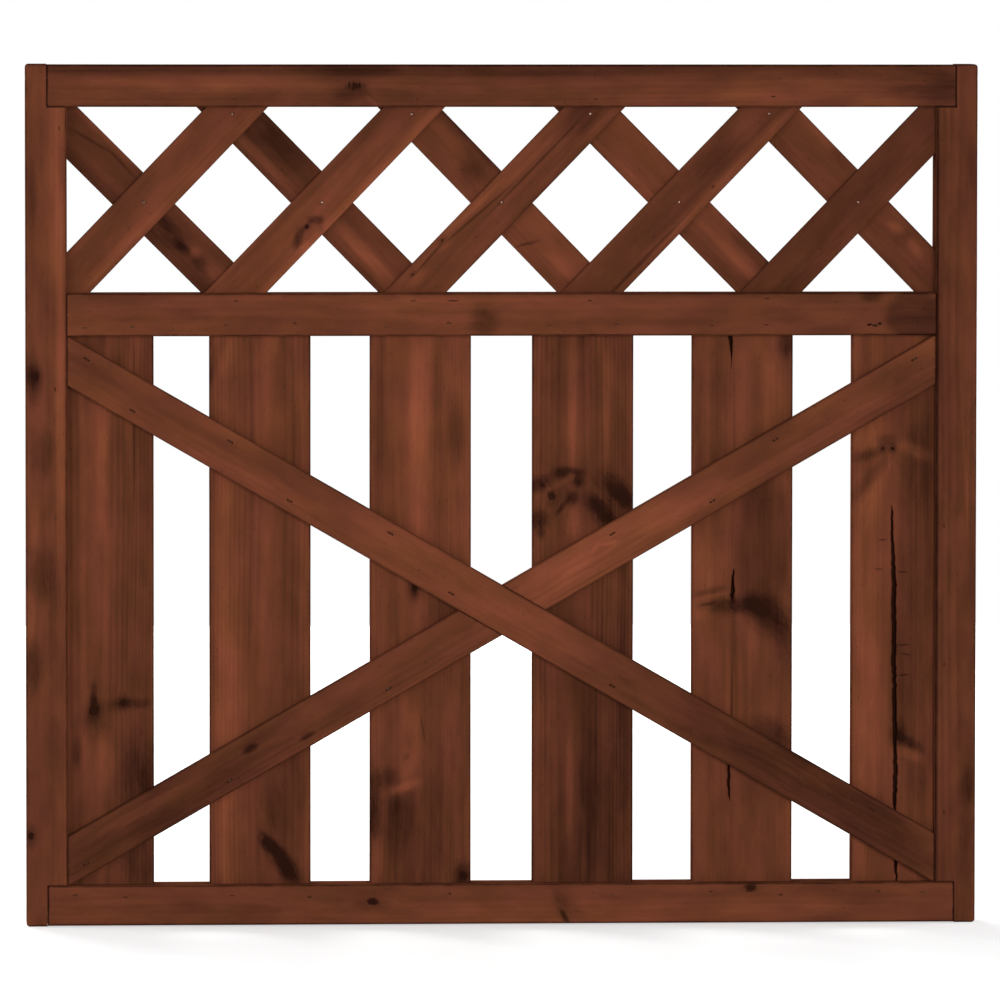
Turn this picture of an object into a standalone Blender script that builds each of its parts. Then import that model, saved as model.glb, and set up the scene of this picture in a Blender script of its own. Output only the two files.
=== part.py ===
"""Wooden garden gate: a grooved frame with a lattice above, six slats below and two crossed braces.

Metres. +X to the right, -Y to the front, +Z up. The origin is on the ground, under the gate's middle.
"""

import math
import random

import bmesh
import bpy
from mathutils import Vector

# Overall size
gate_width = 1.000
gate_height = 0.905
frame_depth = 0.044

# Frame members, as seen from the front
stile_width = 0.0437
top_rail_height = 0.0445
middle_rail_height = 0.0453
bottom_rail_height = 0.0427
lattice_field_height = 0.1946
stile_proud = 0.0007
rail_let_in = 0.0212

# Groove along the inner edges of stiles and rails
front_lip = 0.014
groove_depth = 0.0165
fit_gap = 0.0003

# Slats: the inset is from a stile to the outer slat's middle, and each slat strays a little sideways
slat_width = 0.1065
slat_thickness = 0.016
slat_inset = 0.0353
slat_strays = (0.0022, -0.0015, -0.0013, 0.0013, 0.0011, 0.0012)

# Lattice: each lath strays a little along the middle row, and leans up to about a degree off
lath_count = 5
lath_width = 0.047
lath_thickness = 0.00785
lattice_margin = 0.0811
lattice_drop = 0.0026
front_lath_strays = (0.0014, -0.0007, 0.0005, -0.0008, -0.0004)
front_lath_leans = (0.1, 0.0, -0.1, -0.1, 0.0)
rear_lath_strays = (-0.0026, -0.0020, -0.0009, -0.0010, 0.0009)
rear_lath_leans = (-1.15, -0.5, -0.2, -0.7, -0.3)

# Braces
brace_width = 0.046
brace_thickness = 0.013
brace_corner_clip = 0.0013

# Rounding of the long edges
frame_ease = 0.0030
slat_ease = 0.0020
lath_ease = 0.0012
brace_ease = 0.0020
ease_steps = 2

# Staples through the braces into the slats: which slats, and towards which edge of each
staple_crown = 0.0060
staple_wire = 0.0012
staple_leg = 0.025
staple_sunk = 0.0004
staple_edge_distance = 0.021
staple_offset = 0.0115
hand_stray = 0.0022
left, right = 0, 1
over_staples = ((1, left), (1, right), (2, left), (2, right), (3, left), (3, right), (4, right), (6, left))
under_staples = ((1, left), (2, left), (3, left), (4, right), (5, left), (5, right), (6, right))

# Nails through the lattice crossings
nail_head_diameter = 0.0030
nail_head_thickness = 0.0008
nail_shank_diameter = 0.0016
nail_point = 0.0022
nail_tip_cover = 0.0010
nail_sunk = 0.0002
nail_sides = 8
upper_nail_drop = 0.0072

# Screws through the stiles into the rails' ends
screw_head_diameter = 0.0084
screw_head_land = 0.0004
screw_diameter = 0.0045
screw_length = 0.080
screw_point = 0.007
screw_face_distance = 0.007
screw_sunk = 0.0003
screw_sides = 10
smooth_below = 44

# Planes and edges that follow from the sizes above
half_width = gate_width / 2
front = -frame_depth / 2
back = frame_depth / 2
opening_half = half_width - stile_width
bottom_rail_low = stile_proud
bottom_rail_top = bottom_rail_low + bottom_rail_height
top_rail_top = gate_height - stile_proud
top_rail_low = top_rail_top - top_rail_height
middle_rail_top = top_rail_low - lattice_field_height
middle_rail_low = middle_rail_top - middle_rail_height
groove_front = front + front_lip
groove_back = groove_front + max(slat_thickness, 2 * lath_thickness + fit_gap) + 2 * fit_gap
panel_front = groove_front + fit_gap
engagement = groove_depth - fit_gap
brace_front = groove_front - brace_thickness
brace_middle = brace_front + brace_thickness / 2
overcut = 0.004

pine_frame = (0.112, 0.040, 0.020)
pine_slat = (0.145, 0.052, 0.026)
pine_lath = (0.125, 0.044, 0.022)
pine_brace = (0.135, 0.046, 0.023)
zinc_grey = (0.45, 0.43, 0.40)
dull_steel = (0.20, 0.17, 0.15)


def clear_scene():
    for obj in list(bpy.data.objects):
        bpy.data.objects.remove(obj, do_unlink=True)


def make_material(name, colour, roughness, metallic):
    material = bpy.data.materials.new(name)
    material.use_nodes = True
    shader = material.node_tree.nodes["Principled BSDF"]
    shader.inputs["Base Color"].default_value = (*colour, 1.0)
    shader.inputs["Roughness"].default_value = roughness
    shader.inputs["Metallic"].default_value = metallic
    material.diffuse_color = (*colour, 1.0)
    return material


def finished_mesh(name, bm):
    bmesh.ops.recalc_face_normals(bm, faces=bm.faces)
    mesh = bpy.data.meshes.new(name)
    bm.to_mesh(mesh)
    bm.free()
    return mesh


def add_object(name, mesh, location, turn):
    obj = bpy.data.objects.new(name, mesh)
    bpy.context.scene.collection.objects.link(obj)
    obj.location = location
    obj.rotation_euler = turn
    return obj


def box_bmesh(size):
    bm = bmesh.new()
    bmesh.ops.create_cube(bm, size=1.0)
    bmesh.ops.scale(bm, vec=size, verts=bm.verts)
    return bm


def along(edge, axis):
    direction = edge.verts[1].co - edge.verts[0].co
    return abs(direction[axis]) > 0.9 * direction.length


def eased_bar(name, size, centre, grain, ease, material, tilt=0.0, ease_ends=False):
    """Bar with its edges along the grain axis rounded, or all of them. Tilt lifts its right end."""
    bm = box_bmesh(size)
    edges = [edge for edge in bm.edges if ease_ends or along(edge, grain)]
    bmesh.ops.bevel(bm, geom=edges, offset=ease, segments=ease_steps, profile=0.5, affect="EDGES")
    mesh = finished_mesh(name, bm)
    mesh.materials.append(material)
    return add_object(name, mesh, centre, (0.0, -tilt, 0.0))


def hide_cutter(obj):
    obj.hide_render = True
    obj.display_type = "WIRE"


def cutter_bar(name, size, centre, tilt=0.0):
    cutter = add_object(name, finished_mesh(name, box_bmesh(size)), centre, (0.0, -tilt, 0.0))
    hide_cutter(cutter)
    return cutter


def cutter_box(name, low, high):
    low = Vector(low)
    high = Vector(high)
    return cutter_bar(name, high - low, (low + high) / 2)


def add_boolean(target, cutter, operation):
    modifier = target.modifiers.new(cutter.name, "BOOLEAN")
    modifier.operation = operation
    modifier.solver = "EXACT"
    modifier.object = cutter


def cut(target, cutter):
    add_boolean(target, cutter, "DIFFERENCE")


def keep_inside(target, cutter):
    add_boolean(target, cutter, "INTERSECT")


def slat_centres():
    """One slat for each stray, evenly between the outer two but for its stray."""
    outer = opening_half - slat_inset
    step = 2 * outer / (len(slat_strays) - 1)
    return [-outer + step * index + stray for index, stray in enumerate(slat_strays)]


def lattice_crossings():
    """Places on the middle row of crossings, and half the distance from one to the next."""
    outer = opening_half - lattice_margin
    half_step = outer / (lath_count - 1)
    return [-outer + 2 * half_step * index for index in range(lath_count)], half_step


def crossing_height():
    return (top_rail_low + middle_rail_top) / 2 - lattice_drop


def lath_angle():
    return math.atan2(lattice_field_height / 2, lattice_crossings()[1])


def lath_lines(strays, leans):
    """Where each lath of a layer meets the middle row, and its slope."""
    lines = []
    for index, place in enumerate(lattice_crossings()[0]):
        slope = lath_angle() + math.radians(leans[index % len(leans)])
        lines.append((place + strays[index % len(strays)], slope))
    return lines


def front_lath_lines():
    return lath_lines(front_lath_strays, front_lath_leans)


def rear_lath_lines():
    return lath_lines(rear_lath_strays, rear_lath_leans)


def between_laths(front_line, rear_line, z):
    """Halfway between the middles of a front and a rear lath at one height."""
    rise = z - crossing_height()
    front_x = front_line[0] + rise / math.tan(front_line[1])
    rear_x = rear_line[0] - rise / math.tan(rear_line[1])
    return (front_x + rear_x) / 2


def brace_angle():
    """Slope at which a brace's outer edge meets the corner of the lower opening."""
    rise = (middle_rail_low - bottom_rail_top) / 2 + brace_corner_clip
    reach = math.hypot(rise, opening_half)
    return math.acos(brace_width / (2 * reach)) - math.atan2(opening_half, rise)


def brace_centre_height():
    return (middle_rail_low + bottom_rail_top) / 2


def make_stile(name, side, material):
    centre = (side * (half_width - stile_width / 2), 0, gate_height / 2)
    size = (stile_width, frame_depth, gate_height)
    stile = eased_bar(name, size, centre, 2, frame_ease, material, ease_ends=True)
    inner = side * opening_half
    groove_floor = side * (opening_half + groove_depth)
    notch_floor = side * (opening_half + rail_let_in + fit_gap)
    clear = inner - side * overcut
    groove = cutter_box(
        name + "_groove",
        (min(clear, groove_floor), groove_front, -overcut),
        (max(clear, groove_floor), groove_back, gate_height + overcut),
    )
    cut(stile, groove)
    notches = (
        ("_top_notch", top_rail_low - fit_gap, gate_height + overcut),
        ("_bottom_notch", -overcut, bottom_rail_top + fit_gap),
    )
    for suffix, low, high in notches:
        notch = cutter_box(
            name + suffix,
            (min(clear, notch_floor), front - overcut, low),
            (max(clear, notch_floor), back + overcut, high),
        )
        cut(stile, notch)
    return stile


def cut_rail_groove(rail, edge_height, into):
    """Groove along a rail from the edge at this height, going into the rail (+1 up or -1 down)."""
    floor = edge_height + into * groove_depth
    clear = edge_height - into * overcut
    reach = half_width + overcut
    groove = cutter_box(
        f"{rail.name}_groove_{'up' if into > 0 else 'down'}",
        (-reach, groove_front, min(floor, clear)),
        (reach, groove_back, max(floor, clear)),
    )
    cut(rail, groove)


def make_outer_rail(name, low, high, groove_edge, into, material):
    size = (2 * (opening_half + rail_let_in), frame_depth, high - low)
    rail = eased_bar(name, size, (0, 0, (low + high) / 2), 0, frame_ease, material)
    cut_rail_groove(rail, groove_edge, into)
    return rail


def make_middle_rail(material):
    """Rail between the stiles, with a stub tongue at each end that fills the stile's groove."""
    size = (2 * (opening_half + engagement), frame_depth, middle_rail_height)
    centre = (0, 0, (middle_rail_low + middle_rail_top) / 2)
    rail = eased_bar("middle_rail", size, centre, 0, frame_ease, material)
    shoulder = opening_half - fit_gap
    end = half_width
    cheeks = (
        ("front", front - overcut, groove_front + fit_gap),
        ("back", groove_back - fit_gap, back + overcut),
    )
    for word, near, far in cheeks:
        for side in (-1, 1):
            cheek = cutter_box(
                f"middle_rail_{word}_shoulder_{'left' if side < 0 else 'right'}",
                (min(side * shoulder, side * end), near, middle_rail_low - overcut),
                (max(side * shoulder, side * end), far, middle_rail_top + overcut),
            )
            cut(rail, cheek)
    cut_rail_groove(rail, middle_rail_low, 1)
    cut_rail_groove(rail, middle_rail_top, -1)
    return rail


def make_slats(material):
    """Upright slats, ripped narrower where they would reach past a stile's groove."""
    low = bottom_rail_top - engagement
    high = middle_rail_low + engagement
    size = (slat_width, slat_thickness, high - low)
    y = panel_front + slat_thickness / 2
    reach = opening_half + engagement
    rip = cutter_box("slat_rip", (-reach, -frame_depth, low - overcut), (reach, frame_depth, high + overcut))
    slats = []
    for number, x in enumerate(slat_centres(), 1):
        slat = eased_bar(f"slat_{number}", size, (x, y, (low + high) / 2), 2, slat_ease, material)
        if abs(x) + slat_width / 2 > reach:
            keep_inside(slat, rip)
        slats.append(slat)
    return slats


def make_laths(layer, lines, lean, y, material):
    """One layer of laths side by side, trimmed to the rectangle that the grooves hold."""
    reach = opening_half + engagement
    trim = cutter_box(
        f"lattice_{layer}_trim",
        (-reach, y - lath_thickness, middle_rail_top - engagement),
        (reach, y + lath_thickness, top_rail_low + engagement),
    )
    panel_height = lattice_field_height + 2 * engagement
    length = panel_height / math.sin(lath_angle()) + 3 * lath_width
    laths = []
    for number, (x, slope) in enumerate(lines, 1):
        lath = eased_bar(
            f"lattice_{layer}_lath_{number}",
            (length, lath_thickness, lath_width),
            (x, y, crossing_height()),
            0,
            lath_ease,
            material,
            tilt=lean * slope,
        )
        keep_inside(lath, trim)
        laths.append(lath)
    return laths


def brace_bar_size(extra=0.0):
    return (2 * half_width / math.cos(brace_angle()), brace_thickness, brace_width + extra)


def make_brace(name, lean, trim, material):
    centre = (0, brace_middle, brace_centre_height())
    tilt = lean * brace_angle()
    brace = eased_bar(name, brace_bar_size(), centre, 0, brace_ease, material, tilt=tilt)
    keep_inside(brace, trim)
    return brace


def cut_halving(brace, lean_of_other, near, far):
    """Recess across a brace where the other one passes, between two depths."""
    length, _, width = brace_bar_size(2 * fit_gap)
    centre = (0, (near + far) / 2, brace_centre_height())
    tilt = lean_of_other * brace_angle()
    cut(brace, cutter_bar(brace.name + "_halving", (length, far - near, width), centre, tilt))


def make_braces(material):
    inside = opening_half - fit_gap
    trim = cutter_box(
        "brace_trim",
        (-inside, brace_front - overcut, bottom_rail_top + fit_gap),
        (inside, groove_front + overcut, middle_rail_low - fit_gap),
    )
    over = make_brace("brace_over", -1, trim, material)
    under = make_brace("brace_under", 1, trim, material)
    cut_halving(over, 1, brace_middle - fit_gap / 2, groove_front + overcut)
    cut_halving(under, -1, brace_front - overcut, brace_middle + fit_gap / 2)
    return over, under


def staple_mesh(name, grow=0.0, mouth=0.0):
    """Crown along X at depth 0 and legs along +Y. A mouth carries the crown out the other way."""
    outer = staple_crown / 2 + grow
    inner = staple_crown / 2 - staple_wire - grow
    under = staple_wire + grow
    tip = staple_leg + grow
    thick = staple_wire + 2 * grow
    outline = (
        (-outer, -mouth),
        (outer, -mouth),
        (outer, tip),
        (inner, tip),
        (inner, under),
        (-inner, under),
        (-inner, tip),
        (-outer, tip),
    )
    bm = bmesh.new()
    corners = [bm.verts.new((across, deep, -thick / 2)) for across, deep in outline]
    face = bm.faces.new(corners)
    raised = bmesh.ops.extrude_face_region(bm, geom=[face])["geom"]
    top = [item for item in raised if isinstance(item, bmesh.types.BMVert)]
    bmesh.ops.translate(bm, verts=top, vec=(0, 0, thick))
    return finished_mesh(name, bm)


def turned_mesh(name, profile, sides):
    """Solid of revolution about X. The profile runs (distance, radius) from the head to the point."""
    bm = bmesh.new()
    rings = []
    for distance, radius in profile:
        turns = [2 * math.pi * side / sides for side in range(sides if radius else 1)]
        points = [(distance, radius * math.cos(turn), radius * math.sin(turn)) for turn in turns]
        rings.append([bm.verts.new(point) for point in points])
    for near, far in zip(rings, rings[1:]):
        join_rings(bm, near, far, sides)
    mesh = finished_mesh(name, bm)
    mesh.shade_smooth()
    mesh.set_sharp_from_angle(angle=math.radians(smooth_below))
    return mesh


def join_rings(bm, near, far, sides):
    for side in range(sides):
        after = (side + 1) % sides
        corners = [near[side % len(near)], near[after % len(near)]]
        corners += [far[after % len(far)], far[side % len(far)]]
        bm.faces.new(list(dict.fromkeys(corners)))


def nail_profile(grow=0.0, mouth=0.0):
    """Thin flat head, plain shank and a point that stops inside the rear lath."""
    head = nail_head_diameter / 2 + grow
    shank = nail_shank_diameter / 2 + grow
    under_head = nail_head_thickness + grow
    tip = 2 * lath_thickness + fit_gap - nail_sunk - nail_tip_cover
    return (
        (-mouth, 0),
        (-mouth, head),
        (under_head, head),
        (under_head, shank),
        (tip - nail_point + grow, shank),
        (tip + grow, 0),
    )


def screw_profile(grow=0.0, mouth=0.0):
    """Countersunk head at 90 degrees, plain shank and point."""
    head = screw_head_diameter / 2 + grow
    shank = screw_diameter / 2 + grow
    return (
        (-mouth, 0),
        (-mouth, head),
        (screw_head_land, head),
        (screw_head_land + head - shank, shank),
        (screw_length - screw_point + grow, shank),
        (screw_length + grow, 0),
    )


class Fastener:
    """One kind of fastener: its own mesh, and the room that each one takes in the wood."""

    def __init__(self, kind, mesh, room, material):
        self.mesh = mesh
        self.room = room
        self.mesh.materials.append(material)
        self.pockets = bpy.data.collections.new(kind + "_pockets")
        bpy.context.scene.collection.children.link(self.pockets)

    def place(self, name, location, turn):
        """Sets one in place, turned about each axis, with its pocket around it."""
        fastener = add_object(name, self.mesh, location, turn)
        pocket = bpy.data.objects.new(name + "_pocket", self.room)
        self.pockets.objects.link(pocket)
        pocket.location = location
        pocket.rotation_euler = turn
        hide_cutter(pocket)
        return fastener

    def bore(self, woods):
        for wood in woods:
            modifier = wood.modifiers.new(self.pockets.name, "BOOLEAN")
            modifier.operation = "DIFFERENCE"
            modifier.solver = "EXACT"
            modifier.operand_type = "COLLECTION"
            modifier.collection = self.pockets


def staple_place(hand, lean, x, side):
    """Where a staple stands on a brace, over the left or the right part of the slat at x."""
    angle = lean * brace_angle()
    low = max(x - slat_width / 2, -opening_half) + staple_edge_distance
    high = min(x + slat_width / 2, opening_half) - staple_edge_distance
    across = (low, high)[side] + hand.uniform(-hand_stray, hand_stray)
    towards_edge = lean * (1 if side == right else -1) * staple_offset / math.cos(angle)
    z = brace_centre_height() + across * math.tan(angle) + towards_edge
    return (across, brace_front + staple_sunk, z), (0.0, -angle, 0.0)


def make_brace_staples(over, under, slats, material):
    room = staple_mesh("staple_pocket", fit_gap, staple_sunk + overcut)
    staple = Fastener("staple", staple_mesh("staple"), room, material)
    hand = random.Random(7)
    centres = slat_centres()
    made = []
    for word, lean, chosen in (("over", -1, over_staples), ("under", 1, under_staples)):
        for number, (slat, side) in enumerate(chosen, 1):
            location, turn = staple_place(hand, lean, centres[slat - 1], side)
            made.append(staple.place(f"brace_{word}_staple_{number}", location, turn))
    staple.bore([over, under, *slats])
    return made


def make_lattice_nails(laths, material):
    """A nail at each crossing of the middle row, and at each crossing just below the top rail."""
    mesh = turned_mesh("nail", nail_profile(), nail_sides)
    room = turned_mesh("nail_pocket", nail_profile(fit_gap, nail_sunk + overcut), nail_sides)
    nail = Fastener("nail", mesh, room, material)
    fronts, rears = front_lath_lines(), rear_lath_lines()
    rows = (
        ("middle", zip(fronts, rears), crossing_height()),
        ("upper", zip(fronts, rears[1:]), top_rail_low - upper_nail_drop),
    )
    made = []
    for row, pairs, z in rows:
        for number, (front_line, rear_line) in enumerate(pairs, 1):
            location = (between_laths(front_line, rear_line, z), panel_front + nail_sunk, z)
            made.append(nail.place(f"lattice_{row}_nail_{number}", location, (0.0, 0.0, math.pi / 2)))
    nail.bore(laths)
    return made


def screw_heights():
    """Heights at which each rail is solid right through, clear of its grooves."""
    return (
        ("bottom_rail", (bottom_rail_low + bottom_rail_top - groove_depth) / 2),
        ("middle_rail", (middle_rail_low + middle_rail_top) / 2),
        ("top_rail", (top_rail_low + groove_depth + top_rail_top) / 2),
    )


def make_frame_screws(woods, material):
    """Two screws through a stile into each end of each rail, side by side in depth."""
    mesh = turned_mesh("screw", screw_profile(), screw_sides)
    room = turned_mesh("screw_pocket", screw_profile(fit_gap, screw_sunk + overcut), screw_sides)
    screw = Fastener("screw", mesh, room, material)
    sides = (("left", -1, 0.0), ("right", 1, math.pi))
    depths = (("front", front + screw_face_distance), ("back", back - screw_face_distance))
    made = []
    for rail, z in screw_heights():
        for word, side, turn in sides:
            for face, y in depths:
                location = (side * (half_width - screw_sunk), y, z)
                made.append(screw.place(f"{rail}_{word}_screw_{face}", location, (0.0, 0.0, turn)))
    screw.bore(woods)
    return made


def make_gate():
    clear_scene()
    frame_wood = make_material("stained_pine_frame", pine_frame, 0.62, 0.0)
    slat_wood = make_material("stained_pine_slat", pine_slat, 0.66, 0.0)
    lath_wood = make_material("stained_pine_lath", pine_lath, 0.66, 0.0)
    brace_wood = make_material("stained_pine_brace", pine_brace, 0.62, 0.0)
    zinc = make_material("zinc_plated_steel", zinc_grey, 0.40, 0.9)
    steel = make_material("dull_staple_steel", dull_steel, 0.50, 0.8)

    frame = [
        make_stile("left_stile", -1, frame_wood),
        make_stile("right_stile", 1, frame_wood),
        make_outer_rail("top_rail", top_rail_low, top_rail_top, top_rail_low, 1, frame_wood),
        make_middle_rail(frame_wood),
        make_outer_rail("bottom_rail", bottom_rail_low, bottom_rail_top, bottom_rail_top, -1, frame_wood),
    ]
    slats = make_slats(slat_wood)
    front_y = panel_front + lath_thickness / 2
    laths = make_laths("front", front_lath_lines(), 1, front_y, lath_wood)
    laths += make_laths("rear", rear_lath_lines(), -1, front_y + lath_thickness + fit_gap, lath_wood)
    over, under = make_braces(brace_wood)
    fasteners = make_frame_screws(frame, zinc)
    fasteners += make_lattice_nails(laths, zinc)
    fasteners += make_brace_staples(over, under, slats, steel)

    gate = bpy.data.objects.new("garden_gate", None)
    bpy.context.scene.collection.objects.link(gate)
    for node in [*frame, *slats, *laths, over, under, *fasteners]:
        node.parent = gate


make_gate()
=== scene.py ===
import math
import random

import bmesh
import bpy
from mathutils import Matrix, Vector


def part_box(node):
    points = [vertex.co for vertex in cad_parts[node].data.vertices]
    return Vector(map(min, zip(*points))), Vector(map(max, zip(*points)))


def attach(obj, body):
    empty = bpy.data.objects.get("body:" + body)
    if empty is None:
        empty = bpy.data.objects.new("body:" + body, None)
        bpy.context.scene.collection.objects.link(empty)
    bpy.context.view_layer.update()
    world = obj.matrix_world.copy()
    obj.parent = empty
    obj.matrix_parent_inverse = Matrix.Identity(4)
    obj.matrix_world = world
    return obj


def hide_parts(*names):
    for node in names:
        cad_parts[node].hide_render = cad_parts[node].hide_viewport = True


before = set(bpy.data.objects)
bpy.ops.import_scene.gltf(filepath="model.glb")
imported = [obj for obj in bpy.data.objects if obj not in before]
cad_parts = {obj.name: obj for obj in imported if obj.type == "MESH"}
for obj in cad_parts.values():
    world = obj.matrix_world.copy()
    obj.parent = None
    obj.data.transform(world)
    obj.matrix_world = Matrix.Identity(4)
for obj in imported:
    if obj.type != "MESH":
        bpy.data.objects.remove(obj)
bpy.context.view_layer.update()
mm = 0.001


# Small helpers for modelling

def switchTo(mode):
    bpy.ops.object.mode_set(mode=mode)


def deselectAll():
    if bpy.context.object and bpy.context.object.mode == "EDIT":
        switchTo("OBJECT")
    bpy.ops.object.select_all(action="DESELECT")


def workOn(obj):
    deselectAll()
    obj.select_set(True)
    bpy.context.view_layer.objects.active = obj


def newObject(name, add, **settings):
    deselectAll()
    add(**settings)
    bpy.context.object.name = name
    return bpy.context.object


def pickEdges(obj, test):  # selects the edges whose direction and middle pass the test, in edit mode
    bpy.ops.mesh.select_mode(type="EDGE")
    bpy.ops.mesh.select_all(action="DESELECT")
    shape = bmesh.from_edit_mesh(obj.data)
    for edge in shape.edges:
        first, last = (corner.co for corner in edge.verts)
        if test(last - first, (first + last) / 2):
            edge.select_set(True)
    bmesh.update_edit_mesh(obj.data)


def place(obj, matrix):  # the place goes into the mesh, and the object stays at the origin
    obj.data.transform(matrix)
    obj.data.update()


def copyOf(obj, name):
    twin = obj.copy()
    twin.data = obj.data.copy()
    twin.name = name
    bpy.context.scene.collection.objects.link(twin)
    return twin


def cutWith(obj, tool, operation="DIFFERENCE"):
    workOn(obj)
    bpy.ops.object.modifier_add(type="BOOLEAN")
    step = obj.modifiers[-1]
    step.operation = operation
    step.solver = "EXACT"
    step.object = tool
    bpy.ops.object.modifier_apply(modifier=step.name)


def throwAway(*objs):
    for obj in objs:
        bpy.data.objects.remove(obj, do_unlink=True)


def extrude(way, scale=(1, 1, 1)):  # in edit mode, by millimetres
    bpy.ops.mesh.extrude_region_move(TRANSFORM_OT_translate={"value": [part * mm for part in way]})
    bpy.ops.transform.resize(value=scale)


def finishPiece(obj, nodes, smoothBelow=40):
    workOn(obj)
    bpy.ops.object.shade_smooth_by_angle(angle=math.radians(smoothBelow))
    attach(obj, "root")
    if nodes:
        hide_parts(*nodes)


# Small helpers for materials

def setInputs(tree, node, inputs):  # an input takes a link or a plain value
    for name, value in inputs.items():
        if isinstance(value, bpy.types.NodeSocket):
            tree.links.new(value, node.inputs[name])
        else:
            node.inputs[name].default_value = value
    return node


def addNode(tree, kind, inputs=None, **settings):
    node = tree.nodes.new(kind)
    for name, value in settings.items():
        setattr(node, name, value)
    return setInputs(tree, node, inputs or {})


def calc(tree, operation, *values, clamp=False):
    inputs = dict(enumerate(values))
    return addNode(tree, "ShaderNodeMath", inputs, operation=operation, use_clamp=clamp).outputs[0]


def vectorCalc(tree, operation, *values):
    inputs = dict(enumerate(values))
    return addNode(tree, "ShaderNodeVectorMath", inputs, operation=operation).outputs[0]


def stretched(tree, vector, factors):
    return vectorCalc(tree, "MULTIPLY", vector, factors)


def scaled(tree, vector, factor):
    inputs = {0: vector, "Scale": factor}
    return addNode(tree, "ShaderNodeVectorMath", inputs, operation="SCALE").outputs[0]


def lengthOf(tree, vector):
    return addNode(tree, "ShaderNodeVectorMath", {0: vector}, operation="LENGTH").outputs["Value"]


def combined(tree, x=0.0, y=0.0, z=0.0):
    return addNode(tree, "ShaderNodeCombineXYZ", {"X": x, "Y": y, "Z": z}).outputs[0]


def apart(tree, vector):
    return addNode(tree, "ShaderNodeSeparateXYZ", {"Vector": vector}).outputs


def noise(tree, vector, scale=1.0, detail=2.0, roughness=0.5, output="Fac"):
    inputs = {"Vector": vector, "Scale": scale, "Detail": detail, "Roughness": roughness}
    return addNode(tree, "ShaderNodeTexNoise", inputs).outputs[output]


def wandering(tree, vector, scale, detail):  # a vector that strays by up to half to each side
    return vectorCalc(tree, "SUBTRACT", noise(tree, vector, scale, detail, output="Color"), (0.5, 0.5, 0.5))


def ramp(tree, value, start, end, toStart=0.0, toEnd=1.0):  # eases from one value to the other
    inputs = {"Value": value, "From Min": start, "From Max": end, "To Min": toStart, "To Max": toEnd}
    return addNode(tree, "ShaderNodeMapRange", inputs, interpolation_type="SMOOTHSTEP").outputs["Result"]


def fade(tree, value, start, end):
    return ramp(tree, value, start, end, 1.0, 0.0)


def mixed(tree, share, first, last):
    inputs = {"Factor": share, "A": first, "B": last}
    return addNode(tree, "ShaderNodeMix", inputs, data_type="RGBA").outputs["Result"]


def newGroup(name, inputs, outputs):  # an input that starts as three numbers is a vector
    group = bpy.data.node_groups.new(name, "ShaderNodeTree")
    for label, value in inputs.items():
        kind = "NodeSocketFloat" if isinstance(value, float) else "NodeSocketVector"
        group.interface.new_socket(label, in_out="INPUT", socket_type=kind).default_value = value
    for label in outputs:
        group.interface.new_socket(label, in_out="OUTPUT", socket_type="NodeSocketFloat")
    return group, group.nodes.new("NodeGroupInput").outputs, group.nodes.new("NodeGroupOutput")


def useGroup(tree, group, **inputs):
    node = tree.nodes.new("ShaderNodeGroup")
    node.node_tree = group
    return setInputs(tree, node, inputs).outputs


def newMaterial(name):
    material = bpy.data.materials.new(name)
    material.use_nodes = True
    tree = material.node_tree
    return material, tree, tree.nodes["Principled BSDF"]


def finishWith(obj, material):
    obj.data.materials.clear()
    obj.data.materials.append(material)


# Wood effects. All of them work in a board's own metres: X along the grain, Y through it, Z across.

origin = (0.0, 0.0, 0.0)
inFace = (1.0, 0.0, 1.0)       # flattens onto the board's face
inEnd = (0.0, 1.0, 1.0)        # flattens onto its end
usualSpread = (0.3, 0.7)       # between these lies nearly all of a noise

grainLook = {
    "seedStep": (17.3, 5.1, 9.7),
    "wanderScale": (2.2, 8.0, 8.0), "wander": (0.0, 0.006, 0.006),
    "lateFrom": 0.25, "lateFull": 0.80, "lateEnd": 0.84,       # shares of a year's ring
    "yearScale": 1.7, "yearAlong": 4.0, "faintYear": 0.25,
    "streakAlong": 2.2, "streakAcross": 95.0,
    "fibreScale": (28.0, 1100.0, 1100.0),
}


def makePineGrain():
    inputs = {"Board": origin, "PithDepth": 0.05, "PithAcross": 0.0}
    inputs.update({"RingWidth": 0.0025, "Bend": 0.0, "Seed": 0.0})
    group, given, wanted = newGroup("pineGrain", inputs, ["Late", "Streak", "Fibre"])
    look = grainLook
    shifted = vectorCalc(group, "ADD", given["Board"], scaled(group, look["seedStep"], given["Seed"]))
    wander = wandering(group, stretched(group, shifted, look["wanderScale"]), 1.0, 1.0)
    wander = stretched(group, wander, look["wander"])
    pith = combined(group, y=given["PithDepth"], z=given["PithAcross"])
    fromPith = vectorCalc(group, "ADD", vectorCalc(group, "SUBTRACT", given["Board"], pith), wander)
    radius = calc(group, "ADD", lengthOf(group, stretched(group, fromPith, inEnd)), given["Bend"])
    turns = calc(group, "DIVIDE", radius, given["RingWidth"])
    part = calc(group, "FRACT", turns)
    rise = ramp(group, part, look["lateFrom"], look["lateFull"])
    fall = fade(group, part, look["lateEnd"], 1.0)
    along = apart(group, shifted)["X"]
    year = calc(group, "FLOOR", turns)
    yearPlace = combined(group, calc(group, "MULTIPLY", along, look["yearAlong"]), year, given["Seed"])
    strength = noise(group, yearPlace, look["yearScale"], 1.0)
    strength = ramp(group, strength, *usualSpread, look["faintYear"], 1.0)
    bandAlong = calc(group, "MULTIPLY", along, look["streakAlong"])
    bandAcross = calc(group, "MULTIPLY", radius, look["streakAcross"])
    setInputs(group, wanted, {
        "Late": calc(group, "MULTIPLY", calc(group, "MULTIPLY", rise, fall), strength),
        "Streak": noise(group, combined(group, bandAlong, bandAcross, given["Seed"]), 1.0, 3.0, 0.45),
        "Fibre": noise(group, stretched(group, shifted, look["fibreScale"]), 1.0, 2.0, 0.6),
    })
    return group


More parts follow.
